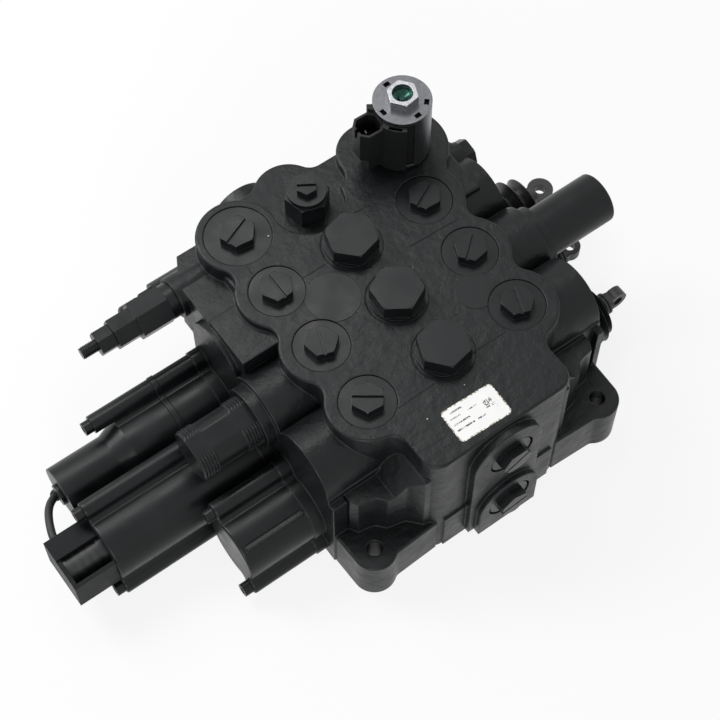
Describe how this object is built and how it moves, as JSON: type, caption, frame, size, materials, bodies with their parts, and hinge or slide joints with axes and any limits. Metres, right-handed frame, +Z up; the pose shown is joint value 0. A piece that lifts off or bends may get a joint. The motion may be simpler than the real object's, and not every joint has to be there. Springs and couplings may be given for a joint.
{
  "type": "directional control valve",
  "caption": "Monoblock spool valve for loader hydraulics: black cast housing with load checks, cavity plugs, relief valves, spring caps, rubber spool boots and a solenoid valve.",
  "frame": {"origin": "on the flat underside, below the middle spool and the middle of the plug grid", "axes": "+X along the spools towards their eyes, +Y towards the inlet side, +Z up from the underside"},
  "size_m": [0.4465, 0.2734, 0.1855],
  "materials": {
    "housing_paint": "satin black paint over cast iron",
    "cap_paint": "satin black paint over die-cast aluminium",
    "plug_paint": "satin black paint over turned steel",
    "painted_steel": "satin black paint over pressed steel",
    "screw_black": "black oxide and paint",
    "ground_steel": "ground steel, bare",
    "inner_steel": "machined steel, oiled",
    "spring_steel": "spring steel wire",
    "zinc_steel": "bright zinc plate",
    "tin_brass": "tinned brass",
    "boot_rubber": "black nitrile rubber, slightly glossy",
    "lead_sheath": "black sheath, matt",
    "gasket_sheet": "black gasket sheet",
    "black_plastic": "moulded black nylon",
    "label_white": "plain white label film"
  },
  "bodies": {
    "valve": {"valve_housing": "housing_paint", "boot_retainers": "painted_steel", "retainer_screws": "painted_steel", "cap_front": "cap_paint", "cap_middle": "cap_paint", "cap_rear": "cap_paint", "rear_spacer_plate": "cap_paint", "rear_cap_extension": "cap_paint", "cap_gaskets": "gasket_sheet", "cap_screws": "screw_black", "port_plugs": "plug_paint", "big_cavity_plug": "plug_paint", "core_plugs": "plug_paint", "relief_body": "plug_paint", "relief_adjuster": "plug_paint", "solenoid_stem": "zinc_steel", "solenoid_coil": "zinc_steel", "solenoid_connector": "black_plastic", "connector_pins": "tin_brass", "solenoid_nut": "zinc_steel", "side_relief_body": "plug_paint", "side_relief_adjuster": "plug_paint", "side_relief_locknut": "plug_paint", "low_side_fitting": "plug_paint", "rear_side_plug": "plug_paint", "port_stub_left": "cap_paint", "port_stub_right": "cap_paint", "face_plugs": "plug_paint", "lock_frame": "painted_steel", "lock_coil": "painted_steel", "lock_lead": "lead_sheath", "rear_end_fittings": "lead_sheath", "plain_label": "label_white", "load_check_plug_front": "plug_paint", "load_check_plug_middle": "plug_paint", "load_check_plug_rear": "plug_paint"},
    "front_spool": {"spool_front": "ground_steel", "spool_bolt_front": "inner_steel", "boot_front": "boot_rubber", "springs_front": "spring_steel"},
    "middle_spool": {"spool_middle": "ground_steel", "spool_bolt_middle": "inner_steel", "boot_middle": "boot_rubber", "springs_middle": "spring_steel"},
    "rear_spool": {"spool_rear": "ground_steel", "spool_bolt_rear": "inner_steel", "boot_rear": "boot_rubber", "springs_rear": "spring_steel"},
    "front_check": {"load_check_poppet_front": "inner_steel", "load_check_spring_front": "spring_steel"},
    "middle_check": {"load_check_poppet_middle": "inner_steel", "load_check_spring_middle": "spring_steel"},
    "rear_check": {"load_check_poppet_rear": "inner_steel", "load_check_spring_rear": "spring_steel"},
    "relief": {"relief_poppet": "inner_steel", "relief_spring": "spring_steel"},
    "side_relief": {"side_relief_poppet": "inner_steel", "side_relief_spring": "spring_steel"},
    "solenoid_armature": {"solenoid_plunger": "inner_steel"},
    "lock_armature": {"lock_plunger": "inner_steel"}
  },
  "joints": [
    {"name": "spool_front_slide", "type": "slide", "parent": "valve", "child": "front_spool", "axis": [1, 0, 0], "range_m": [-0.008, 0.008], "stiffness_N_per_m": 15000, "deforming": ["springs_front", "boot_front"]},
    {"name": "spool_middle_slide", "type": "slide", "parent": "valve", "child": "middle_spool", "axis": [1, 0, 0], "range_m": [-0.008, 0.008], "stiffness_N_per_m": 15000, "deforming": ["springs_middle", "boot_middle"]},
    {"name": "spool_rear_slide", "type": "slide", "parent": "valve", "child": "rear_spool", "axis": [1, 0, 0], "range_m": [-0.012, 0.008], "stiffness_N_per_m": 15000, "deforming": ["springs_rear", "boot_rear"]},
    {"name": "load_check_front_lift", "type": "slide", "parent": "valve", "child": "front_check", "axis": [0, 0, 1], "range_m": [0, 0.005], "stiffness_N_per_m": 600, "springref_m": -0.004, "deforming": ["load_check_spring_front"]},
    {"name": "load_check_middle_lift", "type": "slide", "parent": "valve", "child": "middle_check", "axis": [0, 0, 1], "range_m": [0, 0.005], "stiffness_N_per_m": 600, "springref_m": -0.004, "deforming": ["load_check_spring_middle"]},
    {"name": "load_check_rear_lift", "type": "slide", "parent": "valve", "child": "rear_check", "axis": [0, 0, 1], "range_m": [0, 0.005], "stiffness_N_per_m": 600, "springref_m": -0.004, "deforming": ["load_check_spring_rear"]},
    {"name": "relief_lift", "type": "slide", "parent": "valve", "child": "relief", "axis": [0, 0, 1], "range_m": [0, 0.002], "stiffness_N_per_m": 4000, "springref_m": -0.003, "deforming": ["relief_spring"]},
    {"name": "side_relief_lift", "type": "slide", "parent": "valve", "child": "side_relief", "axis": [-1, 0, 0], "range_m": [0, 0.002], "stiffness_N_per_m": 4000, "springref_m": -0.003, "deforming": ["side_relief_spring"]},
    {"name": "solenoid_stroke", "type": "slide", "parent": "valve", "child": "solenoid_armature", "axis": [0, 0, 1], "range_m": [0, 0.003], "stiffness_N_per_m": 800, "springref_m": -0.002},
    {"name": "lock_stroke", "type": "slide", "parent": "valve", "child": "lock_armature", "axis": [1, 0, 0], "range_m": [0, 0.005], "stiffness_N_per_m": 800, "springref_m": -0.002}
  ]
}
